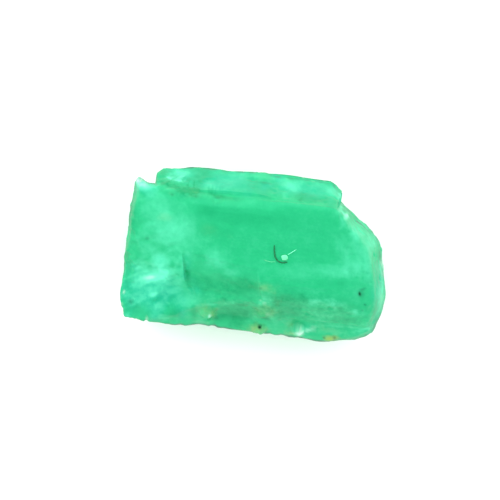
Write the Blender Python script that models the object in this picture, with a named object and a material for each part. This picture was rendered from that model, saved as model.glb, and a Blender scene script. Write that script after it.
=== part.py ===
# A raw emerald crystal, one grown piece: a six-sided prism of beryl, broken off at both ends.
# X runs along the crystal's long axis, Y to its back, and Z up from the face that it rests on.
# The tables are in millimetres, and the mesh turns into metres when it is stored.

import math

import bmesh
import bpy
from mathutils import Matrix, Vector, noise

METRES_PER_MM = 0.001
CRYSTAL_HEIGHT = 4.4
BLOCK_SIDE = 14.0
CUT_TOLERANCE = 1e-5

# Linear colour of the stone's body, and how polished its skin is.
EMERALD_COLOUR = (0.055, 0.62, 0.30, 1.0)
EMERALD_ROUGHNESS = 0.32

# The six prism faces meet at 60 degrees. Each has a point (y, z) that it passes through and the
# angle of its outward normal above +Y, in degrees.
PRISM_FACES = {
    "top": (0.0, CRYSTAL_HEIGHT, 90.0),
    "upper back": (3.02, 2.49, 30.0),
    "lower back": (3.02, 2.49, -30.0),
    "bottom": (0.0, 0.0, -90.0),
    "lower front": (-3.04, 1.63, 210.0),
    "upper front": (-3.04, 1.63, 150.0),
}

# Each break has a point (x, y, z) that it passes through, the bearing of its outward normal
# round Z from +X, and how far that normal rises above the level, in degrees.
BREAKS = {
    "left wall": ((-4.92, -0.70, 1.8), 178.4, 5.0),
    "left wall towards the back": ((-4.74, 1.90, 1.8), 172.0, 5.0),
    "left undercut": ((-4.92, 0.00, 1.6), 184.0, -22.0),
    "front left corner": ((-4.90, -2.50, 1.7), 197.0, 8.0),
    "front left corner tip": ((-4.67, -2.88, 1.7), 233.0, 6.0),
    "front left undercut": ((-4.70, -2.60, 1.2), 218.0, -38.0),
    "left slope": ((-2.20, 0.85, 4.4), 205.0, 64.0),
    "left front slope": ((-3.40, -0.25, 3.64), 225.0, 50.0),
    "left back slope": ((-2.05, 2.99, 2.49), 99.6, 30.0),
    "right slope": ((3.05, 0.30, 4.4), 8.0, 72.0),
    "right lower slope": ((3.95, 0.20, 4.11), 14.0, 50.0),
    "right front slope": ((3.60, -1.30, 4.22), 330.0, 56.0),
    "right wall": ((4.78, -0.25, 1.9), 13.5, 13.0),
    "right wall towards the front": ((4.93, -1.50, 1.9), 349.0, 13.0),
    "right wall undercut": ((4.94, -0.80, 1.8), 0.0, -24.0),
    "front right corner": ((4.72, -2.24, 1.8), 337.0, 12.0),
    "front right corner tip": ((4.40, -2.60, 1.7), 297.0, 10.0),
    "front right edge": ((3.75, -2.80, 1.6), 285.0, 12.0),
    "front right undercut": ((4.60, -2.30, 1.3), 315.0, -36.0),
    "back right corner": ((4.25, 1.25, 1.9), 41.0, 16.0),
    "back right undercut": ((3.90, 1.60, 1.7), 48.0, -30.0),
}

# Steps missing from top to bottom: the outline in plan, and how far that outline shifts in X and
# Y for each millimetre of height above the level where the stone is widest.
WIDEST_LEVEL = 1.9
STEP_OVERRUN = 1.0
LEFT_NOTCH = [
    (-5.80, 2.44), (-4.74, 2.42), (-4.64, 2.36), (-4.50, 2.22), (-4.24, 2.13), (-4.09, 2.15),
    (-4.04, 2.24), (-4.03, 2.62), (-3.86, 2.78), (-3.86, 3.80), (-5.80, 3.80),
]
BACK_RIGHT_STEP = [
    (2.54, 3.80), (2.56, 3.00), (2.72, 2.88), (2.92, 2.68), (2.97, 2.38),
    (3.07, 2.11), (4.02, 1.55), (5.20, 0.84), (5.80, 3.80),
]
STEPS = {
    "left notch": (LEFT_NOTCH, (0.04, -0.03)),
    "back right step": (BACK_RIGHT_STEP, (-0.07, -0.10)),
}

# Ledges and bevels along the prism faces: the section (y, z) of what is missing, its span along
# X, how far the section drifts in Y and Z from one end to the other, and how far its ends lean
# along X for each millimetre of Y.
LEDGES = {
    "front, lower level": (
        [(-1.20, 4.63), (-2.93, 1.63), (-1.83, -0.28), (-2.60, -0.60), (-4.40, 1.50), (-2.40, 5.00)],
        (-2.52, 6.00), (-0.06, 0.0), -0.22,
    ),
    "dark bevel": (
        [
            (-0.30, 4.30), (-0.60, 3.90), (-1.00, 3.50), (-1.45, 3.22),
            (-2.06, 2.98), (-2.70, 2.90), (-3.20, 5.00),
        ],
        (-2.46, 0.46), (-0.45, 0.52), -0.28,
    ),
    "steep face under the bevel": (
        [(-1.90, 3.46), (-2.10, 2.88), (-2.48, 2.16), (-2.93, 1.70), (-3.60, 1.80), (-3.20, 3.60)],
        (-1.50, 0.02), (0.06, 0.08), -0.34,
    ),
    "front shelf": (
        [(-2.14, 2.78), (-2.36, 2.30), (-2.96, 1.76), (-3.60, 1.90), (-3.20, 3.20)],
        (1.75, 6.00), (0.0, 0.06), -0.12,
    ),
    "back edge, left part": (
        [(1.80, 4.70), (1.97, 4.34), (2.16, 4.02), (2.50, 4.40), (2.30, 4.80)],
        (-2.30, -0.95), (0.05, 0.04), 0.40,
    ),
    "back edge, middle": (
        [(1.58, 4.70), (1.76, 4.36), (1.98, 4.19), (2.14, 4.03), (2.50, 4.40), (2.30, 4.80)],
        (-1.75, 0.30), (0.05, 0.03), 0.60,
    ),
    "back, right end": (
        [(2.03, 4.20), (2.48, 3.32), (2.98, 2.46), (3.40, 2.50), (2.70, 4.60)],
        (0.25, 6.00), (0.0, -0.03), 0.22,
    ),
    "lower back, left step": (
        [(3.50, 2.10), (2.74, 2.08), (1.95, 0.72), (2.40, 0.20)],
        (-6.00, -1.20), (0.0, 0.0), 0.30,
    ),
    "lower back, right step": (
        [(2.90, 1.20), (2.10, 0.98), (1.66, 0.22), (2.30, -0.20)],
        (0.60, 6.00), (0.05, 0.0), 0.25,
    ),
    "lower front step": (
        [(-3.30, 0.90), (-2.30, 0.80), (-1.93, 0.16), (-2.60, -0.30)],
        (-1.70, 2.60), (-0.04, 0.05), -0.30,
    ),
}

# Shell-shaped flakes struck off the surface: centre, half sizes and turn round Z in degrees.
FLAKE_SUBDIVISIONS = 3
FLAKES = {
    "left front scoop": ((-4.76, -2.46, 4.43), (2.38, 2.38, 2.38), 0.0),
    "left front scoop, lower": ((-3.58, -2.74, 3.88), (1.50, 1.50, 1.50), 0.0),
    "left shelf": ((-4.80, 2.20, 4.90), (0.80, 0.62, 1.70), 0.0),
    "right end scoop": ((4.90, 0.30, 4.35), (0.66, 1.10, 1.22), 8.0),
    "left wall scoop": ((-5.45, 0.70, 1.10), (0.72, 1.20, 0.80), 0.0),
    "right underside scoop": ((4.75, -0.60, 0.10), (0.85, 1.40, 0.70), -10.0),
    "back underside chip": ((-3.10, 2.05, 0.20), (0.80, 0.42, 0.60), 12.0),
    "front edge nick": ((-3.81, -3.14, 1.66), (0.09, 0.20, 0.30), 0.0),
}

# Grains of iron-stained rock grown to the front edge: centre, half sizes and the seed of the
# uneven shape.
GRAIN_SUBDIVISIONS = 2
GRAINS = {
    "stained lump": ((-1.58, -2.34, 2.56), (0.34, 0.30, 0.28), 3.1),
    "stained lump, bright end": ((-1.46, -2.56, 2.22), (0.17, 0.15, 0.20), 5.7),
    "tan lump": ((0.38, -2.66, 1.92), (0.42, 0.27, 0.50), 8.3),
    "brown patch": ((0.50, -2.16, 2.80), (0.27, 0.24, 0.22), 12.9),
    "pale crust": ((1.82, -2.60, 2.06), (0.30, 0.28, 0.34), 17.2),
    "orange crust": ((3.06, -2.74, 1.80), (0.26, 0.17, 0.26), 21.4),
}
GRAIN_UNEVENNESS = 0.28
GRAIN_WAVES = 1.7

# A pit in the tan lump: its centre and half sizes.
TAN_LUMP_PIT = ((0.44, -2.74, 2.42), (0.07, 0.07, 0.18))

# Breaks are rough: each octave has its wavelength and its height. Faces in line with these prism
# faces stay flat, because they grew and didn't break.
ROUGH_OCTAVES = ((1.15, 0.044), (0.46, 0.032))
NOISE_SEED = 7
FLAT_FACES = ("top", "upper back", "lower back", "bottom", "lower front")
IN_LINE = math.cos(math.radians(1.0))
CELL = 0.235
SMALLEST_EDGE = 0.03


def clearScene():
    for old in list(bpy.data.objects):
        bpy.data.objects.remove(old, do_unlink=True)


def prismNormal(angle):
    turn = math.radians(angle)
    return Vector((0.0, math.cos(turn), math.sin(turn)))


def breakNormal(bearing, rise):
    around = math.radians(bearing)
    up = math.radians(rise)
    level = math.cos(up)
    return Vector((level * math.cos(around), level * math.sin(around), math.sin(up)))


# What lies outside the plane goes, and a flat face closes the cut.
def cutFace(solid, point, normal):
    everything = solid.verts[:] + solid.edges[:] + solid.faces[:]
    found = bmesh.ops.bisect_plane(
        solid, geom=everything, dist=CUT_TOLERANCE, plane_co=point, plane_no=normal, clear_outer=True
    )
    rim = [part for part in found["geom_cut"] if isinstance(part, bmesh.types.BMEdge)]
    if rim:
        bmesh.ops.contextual_create(solid, geom=rim)


def flatFacedBody():
    solid = bmesh.new()
    bmesh.ops.create_cube(solid, size=BLOCK_SIDE)
    for y, z, angle in PRISM_FACES.values():
        cutFace(solid, Vector((0.0, y, z)), prismNormal(angle))
    for point, bearing, rise in BREAKS.values():
        cutFace(solid, Vector(point), breakNormal(bearing, rise))
    bmesh.ops.recalc_face_normals(solid, faces=solid.faces[:])
    return solid


# A block between an outline and a copy of it that may be shifted.
def blockBetween(near, far):
    solid = bmesh.new()
    nearRing = [solid.verts.new(corner) for corner in near]
    farRing = [solid.verts.new(corner) for corner in far]
    solid.faces.new(nearRing)
    solid.faces.new(farRing)
    for here in range(len(nearRing)):
        there = here - 1
        solid.faces.new((nearRing[here], nearRing[there], farRing[there], farRing[here]))
    bmesh.ops.recalc_face_normals(solid, faces=solid.faces[:])
    return solid


def stepBlock(outline, lean):
    rings = []
    for z in (-STEP_OVERRUN, CRYSTAL_HEIGHT + STEP_OVERRUN):
        above = z - WIDEST_LEVEL
        rings.append([(x + lean[0] * above, y + lean[1] * above, z) for x, y in outline])
    return blockBetween(rings[0], rings[1])


def ledgeBlock(section, span, drift, lean):
    middle = sum(y for y, z in section) / len(section)
    near = [(span[0] + lean * (y - middle), y, z) for y, z in section]
    far = [(span[1] + lean * (y - middle), y + drift[0], z + drift[1]) for y, z in section]
    return blockBetween(near, far)


def flakeBowl(centre, halfSizes, turn):
    solid = bmesh.new()
    bmesh.ops.create_icosphere(solid, subdivisions=FLAKE_SUBDIVISIONS, radius=1.0)
    turned = Matrix.Rotation(math.radians(turn), 4, "Z")
    solid.transform(Matrix.Translation(centre) @ turned @ Matrix.Diagonal((*halfSizes, 1.0)))
    return solid


def grainLump(centre, halfSizes, seed):
    solid = bmesh.new()
    bmesh.ops.create_icosphere(solid, subdivisions=GRAIN_SUBDIVISIONS, radius=1.0)
    for vertex in solid.verts:
        swell = noise.noise(vertex.co * GRAIN_WAVES + Vector((seed, 0.0, 0.0)))
        vertex.co *= 1.0 + GRAIN_UNEVENNESS * swell
    solid.transform(Matrix.Translation(centre) @ Matrix.Diagonal((*halfSizes, 1.0)))
    return solid


def storedObject(name, solid):
    mesh = bpy.data.meshes.new(name)
    solid.to_mesh(mesh)
    solid.free()
    made = bpy.data.objects.new(name, mesh)
    bpy.context.scene.collection.objects.link(made)
    return made


def combine(body, name, solid, operation):
    tool = storedObject(name, solid)
    tool.hide_render = True
    tool.display_type = "WIRE"
    modifier = body.modifiers.new(name, "BOOLEAN")
    modifier.operation = operation
    modifier.solver = "EXACT"
    modifier.object = tool


# The flat-faced body with its steps, ledges and flakes taken away and its grains grown on.
def wholeShape():
    body = storedObject("flat faced body", flatFacedBody())
    for name, step in STEPS.items():
        combine(body, name, stepBlock(*step), "DIFFERENCE")
    for name, ledge in LEDGES.items():
        combine(body, name, ledgeBlock(*ledge), "DIFFERENCE")
    for name, flake in FLAKES.items():
        combine(body, name, flakeBowl(*flake), "DIFFERENCE")
    for name, grain in GRAINS.items():
        combine(body, name, grainLump(*grain), "UNION")
    combine(body, "pit in the tan lump", flakeBowl(*TAN_LUMP_PIT, 0.0), "DIFFERENCE")
    graph = bpy.context.evaluated_depsgraph_get()
    shape = bmesh.new()
    shape.from_object(body, graph)
    body.hide_render = True
    body.display_type = "WIRE"
    return shape


# Level and upright cuts through every face, so that there are points for the roughness to move.
def sliceIntoCells(shape):
    for axis in range(3):
        normal = Vector((0.0, 0.0, 0.0))
        normal[axis] = 1.0
        places = [vertex.co[axis] for vertex in shape.verts]
        count = math.ceil((max(places) - min(places)) / CELL)
        for step in range(1, count):
            point = normal * (min(places) + step * CELL)
            everything = shape.verts[:] + shape.edges[:] + shape.faces[:]
            bmesh.ops.bisect_plane(
                shape, geom=everything, dist=SMALLEST_EDGE, plane_co=point, plane_no=normal
            )
    bmesh.ops.triangulate(shape, faces=shape.faces[:])
    bmesh.ops.dissolve_degenerate(shape, dist=SMALLEST_EDGE, edges=shape.edges[:])
    bmesh.ops.triangulate(shape, faces=shape.faces[:])


# The sum of each octave's smooth noise vector times its height.
def roughMove(place):
    moved = Vector((0.0, 0.0, 0.0))
    for wavelength, height in ROUGH_OCTAVES:
        moved += noise.noise_vector(place / wavelength) * height
    return moved


# The normals of the flat prism faces that this point lies on.
def flatNormalsAt(vertex):
    flatNormals = [prismNormal(PRISM_FACES[name][2]) for name in FLAT_FACES]
    touched = []
    for flat in flatNormals:
        if any(face.normal.dot(flat) > IN_LINE for face in vertex.link_faces):
            touched.append(flat)
    return touched


# A point on a flat face moves only within that face, and one on two of them along their edge.
def roughenBreaks(shape):
    shape.normal_update()
    moves = []
    for vertex in shape.verts:
        moved = roughMove(vertex.co)
        touched = flatNormalsAt(vertex)
        if len(touched) > 1:
            edge = touched[0].cross(touched[1]).normalized()
            moved = edge * moved.dot(edge)
        elif touched:
            moved -= touched[0] * moved.dot(touched[0])
        moves.append(moved)
    for vertex, moved in zip(shape.verts, moves):
        vertex.co += moved


# The origin goes under the middle of the crystal's box, on the level that it rests on.
def centreOnBox(shape):
    low = [min(vertex.co[axis] for vertex in shape.verts) for axis in range(3)]
    high = [max(vertex.co[axis] for vertex in shape.verts) for axis in range(3)]
    middle = Vector(((low[0] + high[0]) / 2, (low[1] + high[1]) / 2, low[2]))
    shape.transform(Matrix.Scale(METRES_PER_MM, 4) @ Matrix.Translation(-middle))


def emeraldMaterial():
    material = bpy.data.materials.new("raw emerald")
    material.use_nodes = True
    surface = material.node_tree.nodes["Principled BSDF"]
    surface.inputs["Base Color"].default_value = EMERALD_COLOUR
    surface.inputs["Roughness"].default_value = EMERALD_ROUGHNESS
    surface.inputs["Metallic"].default_value = 0.0
    return material


def emeraldCrystal():
    shape = wholeShape()
    sliceIntoCells(shape)
    roughenBreaks(shape)
    centreOnBox(shape)
    crystal = storedObject("emerald_crystal", shape)
    crystal.data.materials.append(emeraldMaterial())
    return crystal


noise.seed_set(NOISE_SEED)
clearScene()
emeraldCrystal()
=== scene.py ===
import math

import bpy
import numpy as np
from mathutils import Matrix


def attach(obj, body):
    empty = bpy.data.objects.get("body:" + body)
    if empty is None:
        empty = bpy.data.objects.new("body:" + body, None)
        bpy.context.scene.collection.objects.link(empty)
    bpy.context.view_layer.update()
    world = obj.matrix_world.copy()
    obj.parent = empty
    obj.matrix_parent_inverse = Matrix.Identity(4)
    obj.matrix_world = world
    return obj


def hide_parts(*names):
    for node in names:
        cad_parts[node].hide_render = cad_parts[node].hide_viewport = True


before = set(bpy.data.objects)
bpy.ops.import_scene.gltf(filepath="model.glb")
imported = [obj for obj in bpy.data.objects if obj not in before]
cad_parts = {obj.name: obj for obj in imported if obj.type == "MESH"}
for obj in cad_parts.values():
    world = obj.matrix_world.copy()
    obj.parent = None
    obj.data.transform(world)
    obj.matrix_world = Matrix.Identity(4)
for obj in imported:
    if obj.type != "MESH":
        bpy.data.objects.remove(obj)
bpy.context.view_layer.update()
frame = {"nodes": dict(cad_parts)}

mm = 0.001
crystalNode = "emerald_crystal"
print("frame loaded:", ", ".join(frame["nodes"]))


# The crystal's faces, breaks, ledges and flakes, in millimetres. X is the growth axis, Y the back,
# Z up from the face that it rests on. The middle of the box is what the frame's origin is under.
crystal = {
    "boxMiddle": (0.008, -0.020),
    "edgeWear": 0.030,      # how far the edges are worn round
    "slopeWear": 0.17,      # the same where the slopes meet the top
    "wallWear": 0.09,       # and where the top meets the upper back face and these walls
    "softWalls": ("left wall", "left wall towards the back", "right wall", "right wall towards the front",
                  "back right corner", "back right step"),
    "edgeLine": 0.03,       # how far from an edge the stone still counts as edge
    "breakEase": 2.0,       # the skin turns from grown to broken over this many edge wears
    "slopeEase": 0.8,       # and over this many slope wears at the slopes
    "grainEase": 1.9,       # a grain's rim eases down to this many mean half sizes of chord
    "grainRim": 0.05,       # how far it stands out where its skin is all grain
    "widestLevel": (2.06, 0.142),   # height of the widest level at Y = 0, and its rise for each mm of Y
    "leftFall": (-2.05, 0.167),     # left of this x, at the back, that level falls by this for each mm
    "wallFoot": 1.75,       # height where the two end walls stand out most
    "fadingLedges": ("back", "front", "lower", "steep"),    # how the names of such ledges begin
    "endFade": 0.60,        # length over which these ledges die out
    "fadeDepth": 0.40,      # how far their cut has moved out at the end of it
    "softLedges": ("front, lower level", "dark bevel", "back edge, left part", "back edge, middle",
                   "back, right end"),     # they meet the top as the slopes do
    "rings": 318,           # grid lines along the crystal
    "spokes": 306,          # grid lines round it
    "rayAxis": (-2.6, 2.6, 0.12, 2.12),     # rays start on this line: both x ends, y and z
    "capRadius": 2.7,       # the larger, the more grid lines the two ends get
    "swells": {             # where the outline stands out or in: middle (x, y), half width, height
        "front left corner": (-4.86, -2.34, 0.46, 0.14),
        "front left corner, front": (-4.55, -2.86, 0.30, 0.05),
        "left wall, front": (-4.95, -1.35, 0.45, -0.08),
        "left wall, middle": (-4.92, 0.00, 0.35, -0.04),
        "left wall, back": (-4.88, 1.05, 0.35, 0.05),
        "left shelf": (-4.85, 2.08, 0.28, 0.09),
        "strip, left end": (-3.40, 2.90, 0.50, -0.08),
        "strip, dip": (-1.30, 3.00, 0.50, -0.05),
        "strip, right": (0.80, 3.03, 0.70, 0.05),
        "step corner": (2.85, 2.72, 0.20, -0.06),
        "step, inner corner": (2.98, 2.30, 0.16, 0.09),
        "back right corner": (3.65, 1.72, 0.30, -0.08),
        "right wall, back": (4.72, 0.30, 0.50, -0.05),
        "right wall, front": (4.96, -1.00, 0.30, 0.05),
        "front right corner": (4.74, -2.10, 0.26, -0.07),
        "front right edge": (4.15, -2.72, 0.45, 0.07),
        "front edge, right": (2.60, -3.00, 0.50, 0.09),
        "front edge, middle": (1.30, -2.93, 0.60, 0.04),
        "front edge, left": (-1.75, -2.85, 0.35, -0.05),
        "front edge, lump": (-2.35, -2.95, 0.30, 0.06),
    },
    "prismFaces": {         # a point (y, z) and the angle of the outward normal above +Y
        "top": (0.0, 4.4, 90.0),
        "upper back": (3.02, 2.49, 30.0),
        "lower back": (3.02, 2.49, -30.0),
        "bottom": (0.0, 0.0, -90.0),
        "lower front": (-3.04, 1.63, 210.0),
        "upper front": (-3.04, 1.63, 150.0),
    },
    "breaks": {             # a point, the normal's bearing from +X and its rise, in degrees
        "left wall": ((-4.92, -0.70, 1.8), 178.4, 5.0),
        "left wall towards the back": ((-4.74, 1.90, 1.8), 172.0, 5.0),
        "left undercut": ((-4.92, 0.00, 1.6), 184.0, -22.0),
        "front left corner": ((-4.90, -2.50, 1.7), 197.0, 8.0),
        "front left corner tip": ((-4.67, -2.88, 1.7), 233.0, 6.0),
        "front left undercut": ((-4.70, -2.60, 1.2), 218.0, -38.0),
        "left slope": ((-2.20, 0.85, 4.4), 205.0, 64.0),
        "left front slope": ((-3.40, -0.25, 3.64), 225.0, 50.0),
        "left back slope": ((-2.05, 2.99, 2.49), 99.6, 30.0),
        "right slope": ((3.05, 0.30, 4.4), 8.0, 72.0),
        "right lower slope": ((3.95, 0.20, 4.11), 14.0, 50.0),
        "right front slope": ((3.60, -1.30, 4.22), 330.0, 56.0),
        "right wall": ((4.78, -0.25, 1.9), 13.5, 13.0),
        "right wall towards the front": ((4.93, -1.50, 1.9), 349.0, 13.0),
        "right wall undercut": ((4.94, -0.80, 1.8), 0.0, -24.0),
        "front right corner": ((4.72, -2.24, 1.8), 337.0, 12.0),
        "front right corner tip": ((4.40, -2.60, 1.7), 297.0, 10.0),
        "front right edge": ((3.75, -2.80, 1.6), 285.0, 12.0),
        "front right undercut": ((4.60, -2.30, 1.3), 315.0, -36.0),
        "back right corner": ((4.25, 1.25, 1.9), 41.0, 16.0),
        "back right undercut": ((3.90, 1.60, 1.7), 48.0, -30.0),
        "corner by the back right step": ((2.74, 2.84, 1.9), 48.0, -8.0),
    },
    "notches": {            # missing from top to bottom: points and bearings of its walls
        "left notch": (((-4.4, 2.13), 90.0), ((-4.44, 2.20), 59.0), ((-4.035, 2.4), 181.0)),
        "left notch, corner": (((-4.03, 2.62), 133.0), ((-4.00, 2.45), 90.0)),
        "back right step": (((2.965, 2.5), -14.0), ((3.55, 1.82), 61.3)),
    },
    "stepLean": (-0.05, -0.08),     # the step's walls shift this far for each millimetre up
    "notchLean": (0.03, -0.02),     # and the left notch's
    "ledges": {             # section (y, z) of what is missing, span in x, drift, end lean
        "front, lower level": (
            [(-1.20, 4.63), (-2.93, 1.63), (-4.40, 1.70), (-2.40, 5.00)],
            (-2.52, 6.00), (-0.06, 0.0), -0.22),
        "front, lower level underneath": (
            [(-2.93, 1.63), (-1.83, -0.28), (-2.60, -0.60), (-4.40, 1.60)],
            (-2.52, 6.00), (-0.06, 0.0), -0.22),
        "dark bevel": (
            [(-0.30, 4.30), (-0.60, 3.90), (-1.00, 3.50), (-1.45, 3.22), (-2.06, 2.98), (-2.70, 2.90),
             (-3.20, 5.00)],
            (-2.38, 0.46), (-0.45, 0.52), -0.28),
        "steep face under the bevel": (
            [(-1.90, 3.46), (-2.10, 2.88), (-2.48, 2.16), (-2.93, 1.70), (-3.60, 1.80), (-3.20, 3.60)],
            (-1.50, 0.02), (0.06, 0.08), -0.34),
        "front shelf": (
            [(-2.14, 2.78), (-2.36, 2.30), (-2.96, 1.76), (-3.60, 1.90), (-3.20, 3.20)],
            (1.75, 6.00), (0.0, 0.06), -0.12),
        "back edge, left part": (
            [(1.80, 4.70), (1.97, 4.34), (2.16, 4.02), (2.50, 4.40), (2.30, 4.80)],
            (-2.30, -0.95), (0.05, 0.04), 0.40),
        "back edge, middle": (
            [(1.58, 4.70), (1.76, 4.36), (2.14, 4.03), (2.50, 4.40), (2.30, 4.80)],
            (-1.75, 0.30), (0.05, 0.03), 0.60),
        "back, right end": (
            [(2.03, 4.20), (2.48, 3.32), (2.98, 2.46), (3.40, 2.50), (2.70, 4.60)],
            (0.25, 6.00), (0.0, -0.03), 0.22),
        "lower back, left step": (
            [(3.50, 2.10), (2.74, 2.08), (1.95, 0.72), (2.40, 0.20)], (-6.00, -1.20), (0.0, 0.0), 0.30),
        "lower back, right step": (
            [(2.90, 1.20), (2.10, 0.98), (1.66, 0.22), (2.30, -0.20)], (0.60, 6.00), (0.05, 0.0), 0.25),
        "lower front step": (
            [(-3.30, 0.90), (-2.30, 0.80), (-1.93, 0.16), (-2.60, -0.30)],
            (-1.70, 2.60), (-0.04, 0.05), -0.30),
    },
    "flakes": {             # shell-shaped scars: centre, half sizes and turn round Z
        "left front scoop": ((-4.76, -2.46, 4.43), (2.38, 2.38, 2.38), 0.0),
        "left front scoop, lower": ((-3.30, -2.80, 4.20), (1.90, 1.90, 1.90), 0.0),
        "left shelf": ((-4.80, 2.20, 4.90), (0.80, 0.62, 1.70), 0.0),
        "right end scoop": ((4.90, 0.30, 4.35), (0.66, 1.10, 1.22), 8.0),
        "left wall scoop": ((-5.45, 0.70, 1.10), (0.72, 1.20, 0.80), 0.0),
        "right underside scoop": ((4.75, -0.60, 0.10), (0.85, 1.40, 0.70), -10.0),
        "back underside chip": ((-3.10, 2.05, 0.20), (0.80, 0.42, 0.60), 12.0),
        "front edge nick": ((-3.81, -3.14, 1.66), (0.09, 0.20, 0.30), 0.0),
    },
    "grains": {             # iron-stained grains grown to the front edge: centre and half sizes
        "stained lump": ((-1.58, -2.34, 2.56), (0.34, 0.30, 0.28)),
        "stained lump, bright end": ((-1.46, -2.56, 2.22), (0.17, 0.15, 0.20)),
        "tan lump": ((0.41, -2.75, 1.86), (0.33, 0.27, 0.46)),
        "brown patch": ((0.50, -2.16, 2.80), (0.27, 0.24, 0.22)),
        "pale crust": ((1.82, -2.60, 2.06), (0.30, 0.28, 0.34)),
        "orange crust": ((3.06, -2.74, 1.80), (0.26, 0.17, 0.26)),
    },
    # The skin's relief. A noise is its wave, octaves and seed, and a blot is these and its threshold
    # and most. A height or a depth follows each.
    "striations": (((5.0, 0.34, 0.34), 3, 0.012), ((2.4, 0.09, 0.09), 5, 0.005)),
    "deeperBelow": (0.6, 1.6),      # this far below the widest level they are this much deeper
    "hackle": ((0.90, 4, 11), 0.040),
    "scoopRipple": ((0.95, 0.16, 0.30), 21, 0.030),
    "scoopSlant": (0.92, 0.39),     # cosine and sine of the ripples' way
    "scoopEdge": (-2.45, -1.20, 0.30, 9.0),     # x at this y, lean for each mm of y, and sharpness
    "chips": ((0.42, 3, 51, 0.35, 1.0), 0.07),
    "edgeChips": ((0.26, 3, 101, 0.10, 1.0), 0.07),
    "grit": ((0.19, 3, 31), 0.045),
    "endSteps": {
        "height": 0.032,
        "noise": (1.20, 3, 141),
        "stretch": (0.7, 1.0, 1.0),
        "levels": 2.4,              # how many levels the noise is cut into
        "riser": 0.4,               # share of each level that is its rise
        "fine": ((0.34, 3, 145), 0.5),
        "start": (3.8, 0.6),        # distance from the middle where they start, and where they are full
        "top": (3.4, 0.4),          # height where they end, and how far below it they are full
        "offOutline": 0.35,
        "rightShare": 0.4,          # how strong they are on the right wall above its foot
    },
}


def unitNormal(bearing, rise):      # bearing round Z from +X and rise above the level, in degrees
    around, up = np.radians(bearing), np.radians(rise)
    return np.array((np.cos(up) * np.cos(around), np.cos(up) * np.sin(around), np.sin(up)))


def capsuleRays(rings, spokes):
    # Formula: u runs along a quarter circle, a straight line and a quarter circle. Each ray starts on
    # the axis and points square to that path. v turns the ray once round the axis.
    leftX, rightX, axisY, axisZ = crystal["rayAxis"]
    radius = crystal["capRadius"]
    quarter = radius * np.pi / 2
    straight = rightX - leftX
    along = np.linspace(0.0, 2 * quarter + straight, rings + 1)
    startX = leftX + np.clip(along - quarter, 0.0, straight)
    leftTurn = np.clip(along / radius, 0.0, np.pi / 2)
    rightTurn = np.clip((along - quarter - straight) / radius, 0.0, np.pi / 2)
    lengthwise = np.sin(rightTurn) - np.cos(leftTurn)
    sideways = np.sin(leftTurn) * np.cos(rightTurn)
    around = np.linspace(0.0, 2 * np.pi, spokes, endpoint=False)
    starts = np.zeros((rings + 1, spokes, 3))
    starts[..., 0] = startX[:, None]
    starts[..., 1] = axisY
    starts[..., 2] = axisZ
    ways = np.zeros_like(starts)
    ways[..., 0] = lengthwise[:, None]
    ways[..., 1] = sideways[:, None] * np.cos(around)
    ways[..., 2] = sideways[:, None] * np.sin(around)
    return starts.reshape(-1, 3), ways.reshape(-1, 3)


def reachOfPlane(starts, ways, point, normal):
    # Formula: distance to the plane over the speed towards it, endless for a ray that leaves it behind.
    speed = ways @ normal
    gap = (np.asarray(point) - starts) @ normal
    return np.where(speed > 1e-6, gap / np.maximum(speed, 1e-6), 1e3)


def entryToWedge(starts, ways, planes):
    # Formula: a ray is in the wedge from the last plane that it crosses inwards to the first outwards.
    first = np.full(len(starts), -1e3)
    last = np.full(len(starts), 1e3)
    for point, normal in planes:        # each normal points out of the wedge
        speed = ways @ normal
        gap = (np.asarray(point) - starts) @ normal
        cross = gap / np.where(np.abs(speed) > 1e-6, speed, 1e-6)
        first = np.where(speed < -1e-6, np.maximum(first, cross), first)
        last = np.where(speed > 1e-6, np.minimum(last, cross), last)
        last = np.where((np.abs(speed) <= 1e-6) & (gap < 0), -1e3, last)
    return np.where((first < last) & (last > 0), first, 1e3)


def crossingsOfEllipsoid(starts, ways, centre, halfSizes, turn):
    # Formula: the two roots of the quadratic for a unit sphere, after turning and scaling space.
    around = np.radians(turn)
    back = np.array(((np.cos(around), np.sin(around), 0), (-np.sin(around), np.cos(around), 0), (0, 0, 1)))
    place = ((starts - np.asarray(centre)) @ back.T) / np.asarray(halfSizes)
    way = (ways @ back.T) / np.asarray(halfSizes)
    a = (way * way).sum(axis=1)
    b = (place * way).sum(axis=1)
    c = (place * place).sum(axis=1) - 1.0
    inside = b * b - a * c
    root = np.sqrt(np.maximum(inside, 0.0))
    return np.where(inside > 0, (-b - root) / a, 1e3), np.where(inside > 0, (-b + root) / a, -1e3)


def notchPlanes(walls, lean):
    planes = []
    for (x, y), bearing in walls:
        inward = unitNormal(bearing, 0.0)
        rise = inward[0] * lean[0] + inward[1] * lean[1]
        normal = np.array((inward[0], inward[1], -rise))
        planes.append(((x, y, 1.9), -normal / np.linalg.norm(normal)))
    return planes


def ledgePlanes(section, span, drift, lean):
    # The section's sides run straight to the far end; both ends lean along X.
    along = np.array((span[1] - span[0], drift[0], drift[1]))
    middle = np.mean([y for y, z in section])
    corners = np.array([(span[0] + lean * (y - middle), y, z) for y, z in section])
    centre = corners.mean(axis=0)
    planes = []
    for here, there in zip(corners, np.roll(corners, -1, axis=0)):
        normal = np.cross(there - here, along)
        normal /= np.linalg.norm(normal)
        if (here - centre) @ normal < 0:
            normal = -normal
        planes.append((here, normal))
    endNormal = np.array((1.0, -lean, 0.0)) / math.hypot(1.0, lean)
    planes.append((corners[0], -endNormal))
    planes.append((corners[0] + along, endNormal))
    return planes


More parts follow.
